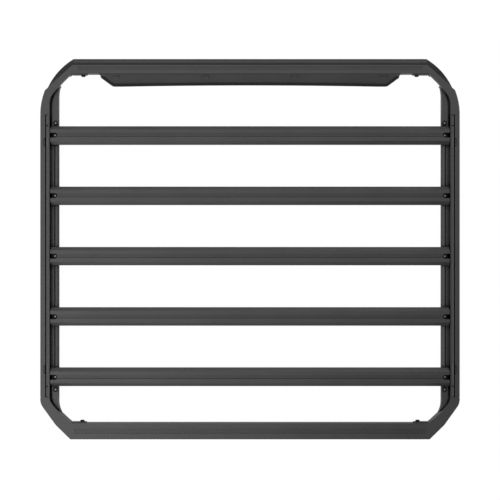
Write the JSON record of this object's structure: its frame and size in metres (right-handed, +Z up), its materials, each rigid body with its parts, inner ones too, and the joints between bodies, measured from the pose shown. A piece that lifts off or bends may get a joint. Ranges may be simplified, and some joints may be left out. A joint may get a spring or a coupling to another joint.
{
  "type": "flat platform roof rack",
  "caption": "Flat platform roof rack: rail frame with cast corners, cross slats bolted between the side rails, and a wind fairing under the front rail.",
  "frame": {"origin": "middle of the footprint, on the lowest point, which is the fairing's rubber edge", "axes": "+Y towards the front of the vehicle, +X to the right, +Z up"},
  "size_m": [1.251, 1.1386, 0.06],
  "materials": {
    "rail_coat": "satin black powder coat on extruded aluminium",
    "casting_coat": "satin black powder coat on cast aluminium",
    "slat_coat": "satin black powder coat on extruded aluminium",
    "fairing_sheet": "matt black sheet",
    "edge_rubber": "matt black rubber",
    "bracket_coat": "satin black coated steel",
    "strip_rubber": "matt black rubber"
  },
  "bodies": {
    "root": {"side_rail_left": "rail_coat", "side_rail_right": "rail_coat", "front_rail": "rail_coat", "rear_rail": "rail_coat", "corner_front_left": "casting_coat", "corner_front_right": "casting_coat", "corner_rear_left": "casting_coat", "corner_rear_right": "casting_coat", "slat_1": "slat_coat", "slat_2": "slat_coat", "slat_3": "slat_coat", "slat_4": "slat_coat", "slat_5": "slat_coat", "wind_fairing": "fairing_sheet", "fairing_edge_trim": "edge_rubber", "fairing_bracket_1": "bracket_coat", "fairing_bracket_2": "bracket_coat", "fairing_bracket_3": "bracket_coat", "fairing_bracket_4": "bracket_coat", "top_strip_left": "strip_rubber", "top_strip_right": "strip_rubber", "flange_strips_left": "strip_rubber", "flange_strips_right": "strip_rubber"}
  },
  "joints": []
}
